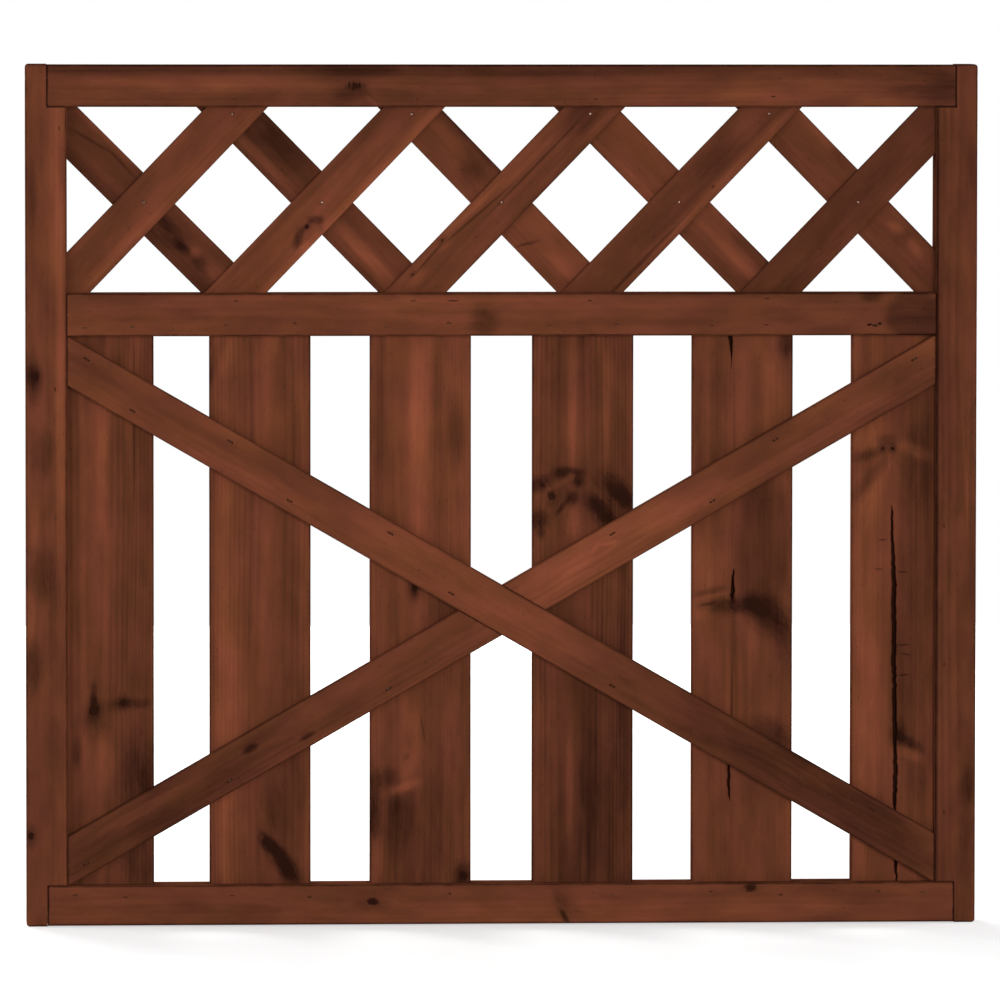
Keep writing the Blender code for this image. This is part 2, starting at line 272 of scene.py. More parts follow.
smudgeLook = {
    "through": (1.0, 0.25, 1.0), "warpScale": 1.6,
    "softReach": 0.7,          # how far a fully soft rim spreads to each side
    "lineScale": (0.8, 1.0, 7.0), "lineFrom": -1.0, "lineTo": 0.6,
}


def makeSmudge():  # a soft patch that fills the unit circle of its own coordinates
    inputs = {"Mark": origin, "Soft": 0.8, "Ragged": 0.3, "Feather": 0.3}
    group, given, wanted = newGroup("smudge", inputs, ["Mask"])
    look = smudgeLook
    flat = stretched(group, given["Mark"], look["through"])
    warp = scaled(group, wandering(group, flat, look["warpScale"], 3.0), given["Ragged"])
    bent = vectorCalc(group, "ADD", flat, warp)
    away = lengthOf(group, stretched(group, bent, inFace))
    inner = calc(group, "MULTIPLY_ADD", given["Soft"], -look["softReach"], 1.0)
    outer = calc(group, "MULTIPLY_ADD", given["Soft"], look["softReach"], 1.0)
    body = fade(group, away, inner, outer)
    lines = noise(group, stretched(group, bent, look["lineScale"]))
    lines = ramp(group, lines, *usualSpread, look["lineFrom"], look["lineTo"])
    lines = calc(group, "ADD", calc(group, "MULTIPLY", lines, given["Feather"]), 1.0)
    setInputs(group, wanted, {"Mask": calc(group, "MULTIPLY", body, lines)})
    return group


knotLook = {                   # distances are shares of the core's radius
    "through": (1.0, 0.2, 1.0), "warpScale": 1.1, "warp": (0.9, 0.0, 0.9),
    "core": (0.35, 1.15), "halo": (0.4, 2.8), "haloShape": (0.7, 0.0, 1.0),
    "rings": 11.0, "ringFade": (0.8, 2.6), "bulgeShape": (0.22, 0.0, 0.5),
}


def makeKnot():  # a branch cut through: its core fills the unit circle
    inputs = {"Mark": origin, "Seed": 0.0}
    group, given, wanted = newGroup("knot", inputs, ["Core", "Halo", "Rings", "Bulge"])
    look = knotLook
    flat = stretched(group, given["Mark"], look["through"])
    moved = vectorCalc(group, "ADD", flat, combined(group, y=given["Seed"]))
    warp = stretched(group, wandering(group, moved, look["warpScale"], 3.0), look["warp"])
    bent = vectorCalc(group, "ADD", stretched(group, flat, inFace), warp)
    away = lengthOf(group, bent)
    waves = calc(group, "SINE", calc(group, "MULTIPLY", away, look["rings"]))
    setInputs(group, wanted, {
        "Core": fade(group, away, *look["core"]),
        "Halo": fade(group, lengthOf(group, stretched(group, bent, look["haloShape"])), *look["halo"]),
        "Rings": calc(group, "MULTIPLY", waves, fade(group, away, *look["ringFade"])),
        "Bulge": fade(group, lengthOf(group, stretched(group, bent, look["bulgeShape"])), 0.0, 1.0),
    })
    return group


def makeArris():  # distance from the nearest long edge or end edge, and depth below the planed faces
    inputs = {"Board": origin, "HalfSize": (0.5, 0.02, 0.02)}
    group, given, wanted = newGroup("arris", inputs, ["Edge", "Depth", "End"])
    fromMiddle = vectorCalc(group, "ABSOLUTE", given["Board"])
    inside = apart(group, vectorCalc(group, "SUBTRACT", given["HalfSize"], fromMiddle))
    least = calc(group, "MINIMUM", inside["Y"], inside["Z"])
    most = calc(group, "MAXIMUM", inside["Y"], inside["Z"])
    setInputs(group, wanted, {
        "Edge": calc(group, "MAXIMUM", least, calc(group, "MINIMUM", most, inside["X"])),
        "Depth": calc(group, "MINIMUM", least, inside["X"]),
        "End": inside["X"],
    })
    return group


pineGrain, smudge, knot, arris = makePineGrain(), makeSmudge(), makeKnot(), makeArris()


# The stain runs from nearly black to a light red brown as the tone goes from 0 to 1.

stain = {
    "darkRed": 42, "lightRed": 140,         # of 255
    "darkGreen": 0.495, "darkBlue": 0.325,  # shares of the red, where the stain is darkest
    "green": 0.548, "blue": 0.367,          # and from this tone up
    "fullHueFrom": 0.35,
    "steps": 8,
}


def stainColour(tone):
    red = stain["darkRed"] + tone * (stain["lightRed"] - stain["darkRed"])
    share = min(tone / stain["fullHueFrom"], 1.0)
    green = stain["darkGreen"] + share * (stain["green"] - stain["darkGreen"])
    blue = stain["darkBlue"] + share * (stain["blue"] - stain["darkBlue"])
    channels = [red / 255, red * green / 255, red * blue / 255]
    return [((value + 0.055) / 1.055) ** 2.4 for value in channels]  # from screen values to linear ones


def stainRamp(tree, tone):
    node = addNode(tree, "ShaderNodeValToRGB", {"Fac": tone})
    stops = node.color_ramp.elements
    while len(stops) < stain["steps"]:
        stops.new(0.5)
    for index, stop in enumerate(stops):
        stop.position = index / (stain["steps"] - 1)
        stop.color = (*stainColour(stop.position), 1.0)
    return node.outputs["Color"]


# Finish that all boards share. Strengths are in tones, lengths in millimetres, noise scales per metre.

woodFinish = {
    "haloDark": 0.35, "knotRingDark": 0.05,       # shares of a knot's own darkness
    "knotBulge": 0.9,                             # how far it bends the rings, in radii
    "knotSeedStep": 3.7,
    "markDepth": 20.0,                            # a mark's half size through the board
    "shadeFrom": 6.0, "shadeTo": 15.0,            # below the front face the shades fade out
    "streak": 0.25, "late": 0.05, "fibre": 0.05,
    "mottle": 0.18, "mottleScale": (16.0, 48.0, 48.0),
    "flecks": 0.16, "fleckScale": (160.0, 420.0, 420.0), "fleckSpread": (0.70, 0.80),
    # the arrises darken: partly stain that gathers there, partly painted shade on the rounded edges
    "edgeDark": 0.34, "edgeFrom": 0.2, "edgeTo": 2.5, "edgeWander": 1.0, "edgeWanderScale": 60.0,
    "endDark": 0.16, "endFrom": 0.1, "endTo": 1.0,
    # deep in cracks, grooves and staple pockets the wood darkens: painted shade
    "hollowDark": 0.52, "hollowFrom": 1.2, "hollowTo": 2.2,
    "hueScale": (14.0, 42.0, 42.0), "olive": (1.0, 1.035, 0.94, 1), "plum": (1.0, 0.965, 1.06, 1),
    "roughness": 0.60, "lateSmooth": 0.08, "mottleRough": 0.10,
    "specular": 0.0,           # the stain is matt, and even a faint sheen turns white at a low angle
    "relief": 0.07, "lateRise": 0.6, "fleckSink": 0.6,
}
wideSpread = (0.25, 0.75, -0.5, 0.5)        # a noise to half a tone each way
widerSpread = (0.2, 0.8, -0.5, 0.5)
usualBoard = {"pith": (48, 10), "ringWidth": 2.4, "knots": (), "streaky": 1.0, "lined": 1.0, "edgy": 1.0}
usualShade = (0.9, 0.5, 0.25)


def woodMaterial(name, grain, board, seed):
    centre, size, tilt = grain
    board, finish = {**usualBoard, **board}, woodFinish
    material, tree, shader = newMaterial(name)
    objectPlace = addNode(tree, "ShaderNodeTexCoord").outputs["Object"]
    turned = {"Vector": objectPlace, "Location": centre, "Rotation": (0, -tilt, 0)}
    own = addNode(tree, "ShaderNodeMapping", turned, vector_type="TEXTURE").outputs[0]
    halfSize = [side / 2 for side in size]

    def addTo(total, amount, strength):
        return calc(tree, "MULTIPLY_ADD", amount, strength, total)

    def markSpace(x, z, long, wide, turn):  # a mark's coordinates, from its place on the gate's front
        offset = Vector((x * mm - centre.x, z * mm - centre.z))
        along = offset.dot(Vector((math.cos(tilt), math.sin(tilt))))
        across = offset.dot(Vector((-math.sin(tilt), math.cos(tilt))))
        settings = {
            "Vector": own,
            "Location": (along, -halfSize[1], across),
            "Rotation": (0, -math.radians(turn), 0),
            "Scale": (long * mm, finish["markDepth"] * mm, wide * mm),
        }
        return addNode(tree, "ShaderNodeMapping", settings, vector_type="TEXTURE").outputs[0]

    bend, tone = 0.0, board["tone"]
    for number, (x, z, radius, stretch, turn, dark) in enumerate(board["knots"]):
        mark = markSpace(x, z, radius * stretch, radius, turn)
        found = useGroup(tree, knot, Mark=mark, Seed=seed + number * finish["knotSeedStep"])
        tone = addTo(tone, found["Core"], -dark)
        tone = addTo(tone, found["Halo"], -finish["haloDark"] * dark)
        tone = addTo(tone, found["Rings"], -finish["knotRingDark"] * dark)
        bend = addTo(bend, found["Bulge"], radius * mm * finish["knotBulge"])
    shade = 0.0
    for x, z, long, wide, turn, strength, *look in board["shades"]:
        rim = dict(zip(("Soft", "Ragged", "Feather"), look or usualShade))
        mask = useGroup(tree, smudge, Mark=markSpace(x, z, long, wide, turn), **rim)["Mask"]
        shade = addTo(shade, mask, strength)
    fadeEnds = [finish[end] * mm - halfSize[1] for end in ("shadeFrom", "shadeTo")]
    tone = addTo(tone, shade, fade(tree, apart(tree, own)["Y"], *fadeEnds))

    depth, across = board["pith"]
    rings = useGroup(
        tree, pineGrain, Board=own, PithDepth=depth * mm, PithAcross=across * mm,
        RingWidth=board["ringWidth"] * mm, Bend=bend, Seed=seed,
    )
    tone = addTo(tone, ramp(tree, rings["Streak"], *widerSpread), finish["streak"] * board["streaky"])
    tone = addTo(tone, rings["Late"], -finish["late"] * board["lined"])
    tone = addTo(tone, calc(tree, "SUBTRACT", rings["Fibre"], 0.5), finish["fibre"])
    mottle = noise(tree, stretched(tree, own, finish["mottleScale"]), 1.0, 4.0, 0.55)
    mottle = ramp(tree, mottle, *wideSpread)
    tone = addTo(tone, mottle, finish["mottle"])
    flecks = noise(tree, stretched(tree, own, finish["fleckScale"]), 1.0, 1.0)
    flecks = ramp(tree, flecks, *finish["fleckSpread"])
    tone = addTo(tone, flecks, -finish["flecks"])

    form = useGroup(tree, arris, Board=own, HalfSize=halfSize)
    # darker arrises: partly stain that gathers there, partly painted shade on the rounded edges
    wander = finish["edgeWander"] * mm
    wander = calc(tree, "MULTIPLY_ADD", noise(tree, own, finish["edgeWanderScale"]), 2 * wander, -wander)
    edge = calc(tree, "ADD", form["Edge"], wander)
    edge = fade(tree, edge, finish["edgeFrom"] * mm, finish["edgeTo"] * mm)
    tone = addTo(tone, edge, -finish["edgeDark"] * board["edgy"])
    end = fade(tree, form["End"], finish["endFrom"] * mm, finish["endTo"] * mm)
    tone = addTo(tone, end, -finish["endDark"])
    # painted shade deep in cracks, grooves and staple pockets
    hollow = ramp(tree, form["Depth"], finish["hollowFrom"] * mm, finish["hollowTo"] * mm)
    tone = calc(tree, "MULTIPLY_ADD", hollow, -finish["hollowDark"], tone, clamp=True)
    hue = ramp(tree, noise(tree, stretched(tree, own, finish["hueScale"]), 1.0, 3.0), *usualSpread)
    hue = mixed(tree, hue, finish["olive"], finish["plum"])
    colour = stretched(tree, stainRamp(tree, tone), hue)

    roughness = calc(tree, "MULTIPLY_ADD", rings["Late"], -finish["lateSmooth"], finish["roughness"])
    height = addTo(rings["Fibre"], rings["Late"], finish["lateRise"])
    height = addTo(height, flecks, -finish["fleckSink"])
    relief = {"Height": height, "Distance": finish["relief"] * mm, "Strength": 1.0}
    setInputs(tree, shader, {
        "Base Color": colour,
        "Roughness": addTo(roughness, mottle, finish["mottleRough"]),
        "Normal": addNode(tree, "ShaderNodeBump", relief).outputs["Normal"],
        "Specular IOR Level": finish["specular"],
    })
    return material


# Boards

nearly = 0.9                   # the cosine from which an edge counts as lying along an axis

boardShape = {                 # in millimetres
    "slice": 6.0,              # between cuts along the grain
    "strip": 4.0,              # and across it
    "leastCut": 12.0,          # edges shorter than this aren't sliced
    "quickCoarse": 3,
    "roundSteps": 4,
    "shy": 0.03,               # how far each face stays inside the joinery
    "weld": 0.005,
    "waviness": 0.20,
    "waveLength": 14.0,
    "waveStretch": 9.0,
    "waveStep": (0.37, 0.11, 0.23),  # metres between the waves of one seed and the next
}


def grainOf(node):  # centre, size and tilt of the bar that a board was cut from
    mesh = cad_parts[node].data
    quarter, slack = math.pi / 2, 0.01
    found = {}
    for face in mesh.polygons:
        if abs(face.normal.y) < 0.1:  # neither front nor back
            tilt = math.atan2(face.normal.z, face.normal.x) - quarter
            tilt = (tilt + quarter - slack) % math.pi - quarter + slack
            key = round(math.degrees(tilt), 1)
            area, total = found.get(key, (0.0, 0.0))
            found[key] = (area + face.area, total + face.area * tilt)
    area, total = max(found.values())
    tilt = total / area
    turn = Matrix.Rotation(tilt, 3, "Y")
    corners = [turn @ corner.co for corner in mesh.vertices]
    low = Vector(min(corner[axis] for corner in corners) for axis in range(3))
    high = Vector(max(corner[axis] for corner in corners) for axis in range(3))
    return turn.transposed() @ ((low + high) / 2), high - low, tilt


def makeBar(name, size, ease, roundEnds):
    bar = newObject(name, bpy.ops.mesh.primitive_cube_add, size=1)
    switchTo("EDIT")
    shy = 2 * boardShape["shy"] * mm
    bpy.ops.transform.resize(value=[side - shy for side in size])
    pickEdges(bar, lambda way, middle: roundEnds or abs(way.x) > nearly * way.length)
    bpy.ops.mesh.bevel(offset=ease, segments=boardShape["roundSteps"], profile=0.5, affect="EDGES")
    coarse = 1
    slices = math.ceil(math.sqrt(size[0] / (boardShape["slice"] * coarse * mm))) - 1
    least = boardShape["leastCut"] * mm
    for _ in range(2):
        pickEdges(bar, lambda way, middle: abs(way.x) > nearly * way.length and way.length > least)
        bpy.ops.mesh.subdivide(number_cuts=max(slices, 1))
    for axis in (1, 2):
        strips = round(size[axis] / (boardShape["strip"] * coarse * mm)) - 1
        if strips > 0:
            shortest = size[axis] - 3 * ease
            pickEdges(bar, lambda way, middle: abs(way[axis]) > nearly * way.length and way.length > shortest)
            bpy.ops.mesh.subdivide(number_cuts=strips)
    switchTo("OBJECT")
    return bar


waveTexture = bpy.data.textures.new("planedWaves", "CLOUDS")
waveTexture.noise_scale = boardShape["waveLength"] * mm
waveTexture.noise_depth = 2


def waveFaces(bar, seed):  # the planed faces sink a little in long soft waves
    spot = [seed * step for step in boardShape["waveStep"]]
    guide = newObject("waveGuide", bpy.ops.object.empty_add, location=spot)
    guide.scale = (boardShape["waveStretch"], 1, 1)
    workOn(bar)
    bpy.ops.object.modifier_add(type="DISPLACE")
    step = bar.modifiers[-1]
    step.texture = waveTexture
    step.texture_coords = "OBJECT"
    step.texture_coords_object = guide
    step.mid_level = 1.0
    step.strength = boardShape["waviness"] * mm
    bpy.ops.object.modifier_apply(modifier=step.name)
    throwAway(guide)


def joineryOf(node):  # the node's own shape, closed, as the tool that a bar is cut by
    tool = copyOf(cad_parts[node], "joinery")
    tool.parent = None
    workOn(tool)
    switchTo("EDIT")
    bpy.ops.mesh.select_all(action="SELECT")
    bpy.ops.mesh.remove_doubles(threshold=boardShape["weld"] * mm)
    switchTo("OBJECT")
    return tool


# Splits in the slats: x, z and width of each stretch in millimetres, from one end to the other

splits = {
    "depth": 9.5, "narrowing": 0.35, "raggedness": 0.6, "step": 4.0,
    "slat_5": [
        [(241.6, 626, 5.0), (241.0, 617, 5.2), (241.4, 610.5, 4.0), (242.0, 604, 2.8), (241.8, 598, 1.6),
         (242.4, 585, 0.3)],
        [(244.8, 374, 0.4), (244.6, 370, 2.0), (244.1, 362, 3.0), (244.0, 358, 3.4), (243.6, 354, 4.2),
         (243.9, 350, 5.2), (243.6, 345.5, 4.8), (243.6, 341.5, 1.6)],
        [(240.0, 186, 0.4), (239.9, 170, 2.6), (239.9, 160, 3.0), (240.3, 150, 3.4), (240.0, 141, 2.6),
         (240.4, 134, 2.0), (240.6, 128, 0.4)],
    ],
    "slat_6": [
        [(411.3, 440, 0.5), (411.7, 434, 2.4), (412.5, 404, 3.4), (413.1, 390, 4.2), (414.1, 375, 4.8),
         (414.6, 360, 5.4), (414.6, 331, 5.8), (414.6, 300, 5.4), (414.7, 272, 5.6), (415.2, 257, 4.6),
         (415.6, 235, 5.4), (416.0, 213, 5.0), (416.5, 200, 5.8), (416.2, 190, 4.4), (416.0, 184, 3.8),
         (416.4, 169, 5.0), (416.7, 154, 5.4), (416.3, 139, 5.0), (416.3, 125, 4.6), (416.0, 112, 1.0)],
        [(416.9, 74, 0.8), (417.3, 64, 4.4), (417.7, 56, 3.4), (418.1, 48, 2.2), (418.3, 41, 2.0)],
    ],
}


def makeSplit(points, front, dice):  # a wedge that follows the split, wide at the face and narrow inside
    x, z, width = points[0]
    spot = (x * mm, front, z * mm)
    wedge = newObject("wedge", bpy.ops.mesh.primitive_plane_add, size=1, location=spot)
    bpy.ops.object.transform_apply()
    switchTo("EDIT")
    atFace = 2 / (1 + splits["narrowing"])  # so that the width holds halfway in
    bpy.ops.transform.resize(value=(atFace * width * mm, 2 * splits["depth"] * mm, 1))
    pickEdges(wedge, lambda way, middle: middle.y > front + mm)
    bpy.ops.transform.resize(value=(splits["narrowing"], 1, 1))
    bpy.ops.mesh.select_mode(type="FACE")
    bpy.ops.mesh.select_all(action="SELECT")
    aside = 0.0
    for (x, z, width), (nextX, nextZ, nextWidth) in zip(points, points[1:]):
        steps = max(1, round((z - nextZ) / splits["step"]))
        grow = (nextWidth / width) ** (1 / steps)
        for _ in range(steps):
            sway = dice.uniform(-1, 1) * splits["raggedness"]
            extrude(((nextX - x) / steps + sway - aside, 0, (nextZ - z) / steps), (grow, 1, 1))
            aside = sway
    bpy.ops.mesh.select_all(action="SELECT")
    bpy.ops.mesh.normals_make_consistent(inside=False)
    switchTo("OBJECT")
    return wedge


def splitBoard(board, node, front):
    dice = random.Random(node)
    for points in splits.get(node, ()):
        wedge = makeSplit(points, front, dice)
        cutWith(board, wedge)
        throwAway(wedge)


def makeBoard(node, board, ease, seed):
    grain = grainOf(node)
    centre, size, tilt = grain
    bar = makeBar(node + "_wood", size, ease * mm, roundEnds="stile" in node)
    waveFaces(bar, seed)
    place(bar, Matrix.Translation(centre) @ Matrix.Rotation(-tilt, 4, "Y"))
    joinery = joineryOf(node)
    cutWith(bar, joinery, "INTERSECT")
    throwAway(joinery)
    splitBoard(bar, node, centre.y - size[1] / 2)
    for pocket in pocketsIn(node):
        cutWith(bar, pocket)
    finishWith(bar, woodMaterial(node + "Pine", grain, board, seed))
    finishPiece(bar, [node])


# Fasteners, in millimetres. Each is modelled once with its head at the origin and its shank along +Y.

stapleShape = {
    "crown": 6.0, "wire": 1.2, "bend": 1.0, "leg": 25.0, "sides": 8, "steps": 3,
    "tip": 1.5, "point": 0.25,              # the last stretch of a leg thins to this share
}
nailShape = {                               # depth and radius of each ring
    "sides": 16,
    "outline": [
        (14.8, 0.15), (13.2, 0.8), (9.0, 0.8), (8.8, 0.7), (8.4, 0.8), (8.2, 0.7), (7.8, 0.8), (1.2, 0.8),
        (0.8, 0.9), (0.7, 1.5), (0.35, 1.5), (0.12, 1.2), (0.03, 0.75), (0.0, 0.3),
    ],
}
screwShape = {
    "sides": 24, "length": 80.0, "tip": 0.2, "core": 1.5, "crest": 2.2, "shank": 1.65,
    "head": 4.18, "rim": 0.3, "rimRound": 0.1,
    "threadFrom": 30.0, "threadTo": 76.0, "pitch": 2.3,
    "thread": ((0.4, "core"), (0.5, "crest"), (0.6, "core")),
    "slotLong": 4.8, "slotWide": 0.95, "slotDeep": 2.6, "slotNarrowing": 0.35,
}
frameStaples = {                            # x and z of each, on the gate's front
    "deep": 0.4, "leg": 19.0,               # how deep it lies in the face
    "room": 0.3, "spare": 0.5,              # what its pocket leaves free at each side and below it
    "top_rail": [(-281, 868), (-91, 868), (97.5, 868), (284, 871)],
    "middle_rail": [
        (-280, 657), (-94, 657), (91.5, 657), (278, 659), (-438, 629), (-389, 630), (-290, 632),
        (-218, 633.5), (-122, 629.5), (-56.5, 633.5), (48.5, 631), (120, 632), (220, 630.5),
        (277.5, 631.5), (392, 631.5), (434, 631.5),
    ],
    "bottom_rail": [
        (-449, 33), (-396, 31), (-284, 32), (-203, 30), (-56, 33), (117, 31), (220, 34), (294, 30), (397, 33),
        (444, 32),
    ],
    "left_stile": [(-464.5, 838), (-469, 565), (-469, 429)],
    "right_stile": [(464, 678), (462.5, 604), (465.5, 419.5), (466, 273.5), (467, 117)],
}


def startCircle(name, sides, radius, x, depth):
    shape = newObject(
        name, bpy.ops.mesh.primitive_circle_add, vertices=sides, radius=radius * mm, fill_type="NGON",
        location=(x * mm, depth * mm, 0), rotation=(math.pi / 2, 0, 0),
    )
    bpy.ops.object.transform_apply()
    switchTo("EDIT")
    bpy.ops.mesh.select_mode(type="FACE")
    bpy.ops.mesh.select_all(action="SELECT")
    return shape


def closeShape():
    bpy.ops.mesh.select_all(action="SELECT")
    bpy.ops.mesh.remove_doubles(threshold=0.001 * mm)
    bpy.ops.mesh.normals_make_consistent(inside=False)
    switchTo("OBJECT")


def makeStaple(name, leg, wire, point):  # one bent wire, its two ends cut to a point
    half = (stapleShape["crown"] - stapleShape["wire"]) / 2
    bend, top, tip = stapleShape["bend"], stapleShape["wire"] / 2, stapleShape["tip"]
    staple = startCircle(name, stapleShape["sides"], wire / 2, -half, leg)
    bpy.ops.transform.resize(value=(point, 1, 1))
    extrude((0, -tip, 0), (1 / point, 1, 1))
    extrude((0, top + bend - leg + tip, 0))
    spun = {"steps": stapleShape["steps"], "angle": -math.pi / 2, "axis": (0, 0, 1)}
    bpy.ops.mesh.spin(center=((bend - half) * mm, (top + bend) * mm, 0), **spun)
    extrude((2 * (half - bend), 0, 0))
    bpy.ops.mesh.spin(center=((half - bend) * mm, (top + bend) * mm, 0), **spun)
    extrude((0, leg - tip - top - bend, 0))
    extrude((0, tip, 0), (point, 1, 1))
    closeShape()
    return staple


def makeTurned(name, sides, outline):  # depth and radius of each ring, from the tip to the head
    depth, radius = outline[0]
    shape = startCircle(name, sides, radius, 0, depth)
    for nextDepth, nextRadius in outline[1:]:
        grow = nextRadius / radius
        extrude((0, nextDepth - depth, 0), (grow, 1, grow))
        depth, radius = nextDepth, nextRadius
    closeShape()
    return shape


def makeScrew(name):
    size = screwShape
    outline = [(size["length"], size["tip"]), (size["threadTo"], size["core"])]
    depth = size["threadTo"]
    while depth > size["threadFrom"]:
        outline += [(depth - share * size["pitch"], size[ring]) for share, ring in size["thread"]]
        depth -= size["pitch"]
    sink = size["head"] - size["shank"]
    outline += [(depth, size["shank"]), (sink + size["rim"], size["shank"]), (size["rim"], size["head"])]
    outline += [(size["rimRound"] / 2, size["head"]), (0.0, size["head"] - size["rimRound"])]
    screw = makeTurned(name, size["sides"], outline)
    for turn in (0, 90):  # the cross recess
        rotation = (0, math.radians(turn), 0)
        blade = newObject("blade", bpy.ops.mesh.primitive_cube_add, size=1, rotation=rotation)
        blade.scale = (size["slotLong"] * mm, 2 * size["slotDeep"] * mm, size["slotWide"] * mm)
        bpy.ops.object.transform_apply()
        switchTo("EDIT")
        pickEdges(blade, lambda way, middle: middle.y > mm)
        bpy.ops.transform.resize(value=(size["slotNarrowing"], 1, size["slotNarrowing"]))
        switchTo("OBJECT")
        cutWith(screw, blade)
        throwAway(blade)
    return screw


def stapleRow(name, model, member):  # the model at each of a member's staples, joined
    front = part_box(member)[0].y + frameStaples["deep"] * mm
    turn = Matrix.Rotation(-math.pi / 2 if "stile" in member else 0.0, 4, "Y")
    row = []
    for x, z in frameStaples[member]:
        row.append(copyOf(model, name))
        place(row[-1], Matrix.Translation((x * mm, front, z * mm)) @ turn)
    workOn(row[0])
    for staple in row:
        staple.select_set(True)
    bpy.ops.object.join()
    return row[0]


def makePockets():  # what the frame's staples cut out of the wood, one tool for each member
    wide = stapleShape["wire"] + 2 * frameStaples["room"]
    model = makeStaple("pocketModel", frameStaples["leg"] + frameStaples["spare"], wide, 1.0)
    place(model, Matrix.Translation((0, -(wide - stapleShape["wire"]) / 2 * mm, 0)))
    tools = [stapleRow(member + "Pockets", model, member) for member in frameBoards]
    throwAway(model)
    return tools


def pocketsIn(node):  # the tools that reach into a board
    low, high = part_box(node)
    found = []
    for tool in pockets:
        corners = (corner.co for corner in tool.data.vertices)
        if any(all(low[axis] < corner[axis] < high[axis] for axis in range(3)) for corner in corners):
            found.append(tool)
    return found


steelFinish = {
    "stainScale": 900.0, "stainFrom": 0.62, "stainTo": 0.72, "stainReach": 0.3,
    "stainTone": 0.35, "stainRough": 0.25,
    "shadeScale": 2500.0, "darkShare": 0.7,
    "scratchScale": 4000.0, "relief": 0.02,
}


def steelMaterial(name, colour, stained, roughness):
    look = steelFinish
    material, tree, shader = newMaterial(name)
    objectPlace = addNode(tree, "ShaderNodeTexCoord").outputs["Object"]
    reach = look["stainReach"] * stained
    cover = noise(tree, objectPlace, look["stainScale"], 3.0, 0.6)
    cover = ramp(tree, cover, look["stainFrom"] - reach, look["stainTo"] - reach)
    dark = [part * look["darkShare"] for part in colour]
    steel = mixed(tree, noise(tree, objectPlace, look["shadeScale"]), (*colour, 1), (*dark, 1))
    scratches = noise(tree, objectPlace, look["scratchScale"])
    relief = {"Height": scratches, "Distance": look["relief"] * mm, "Strength": 0.5}
    setInputs(tree, shader, {
        "Base Color": mixed(tree, cover, steel, (*stainColour(look["stainTone"]), 1)),
        "Metallic": calc(tree, "SUBTRACT", 1.0, cover),
        "Roughness": calc(tree, "MULTIPLY_ADD", cover, look["stainRough"], roughness),
        "Normal": addNode(tree, "ShaderNodeBump", relief).outputs["Normal"],
        "Specular IOR Level": woodFinish["specular"],
    })
    return material


steels = {                     # colour, how much the stain covers, and roughness
    "dullStapleSteel": ((0.20, 0.15, 0.12), 0.9, 0.5),
    "zincPlate": ((0.30, 0.285, 0.26), 0.12, 0.45),
    "stainedNailHead": ((0.30, 0.18, 0.13), 0.5, 0.5),
}


def modelFasteners():
    dull, zinc, stainedZinc = (steelMaterial(name, *look) for name, look in steels.items())
    wire, point = stapleShape["wire"], stapleShape["point"]
    models = {
        "braceStaple": (makeStaple("stapleModel", stapleShape["leg"], wire, point), dull),
        "frameStaple": (makeStaple("shortStapleModel", frameStaples["leg"], wire, point), dull),
        "nail": (makeTurned("nailModel", nailShape["sides"], nailShape["outline"]), stainedZinc),
        "screw": (makeScrew("screwModel"), zinc),
    }
    for model, steel in models.values():
        finishWith(model, steel)
    return {word: model for word, (model, steel) in models.items()}


def makeFasteners():
    models = modelFasteners()
    for node in sorted(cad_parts):
        low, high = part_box(node)
        x, y, z = (low + high) / 2
        if "_staple_" in node:
            tilt = grainOf(node.split("_staple_")[0])[2]
            fasten(node, models["braceStaple"], "_wire", (x, low.y, z), -tilt, "Y")
        elif "_nail_" in node:
            fasten(node, models["nail"], "_steel", (x, low.y, z), 0.0, "Y")
        elif "_left_screw_" in node:
            fasten(node, models["screw"], "_steel", (low.x, y, z), -math.pi / 2, "Z")
        elif "_right_screw_" in node:
            fasten(node, models["screw"], "_steel", (high.x, y, z), math.pi / 2, "Z")
    for member in frameBoards:
        finishPiece(stapleRow(member + "_staples", models["frameStaple"], member), [])
    throwAway(*models.values())
    print("fasteners made")


def fasten(node, model, ending, spot, turn, axis):
    piece = copyOf(model, node + ending)
    place(piece, Matrix.Translation(spot) @ Matrix.Rotation(turn, 4, axis))
    finishPiece(piece, [node])


# What each board shows, in millimetres of the gate's front: x from its middle, z above the ground.
# Knots: x, z, radius, stretch along the grain, turn, darkness.
# Shades: x, z, half length along the grain, half width, turn, strength, and some have their own softness,
# raggedness and feather.

crisp = (0.5, 0.25, 0.0)
soft = (1.15, 0.7, 0.3)
hair = (0.8, 0.05, 0.0)

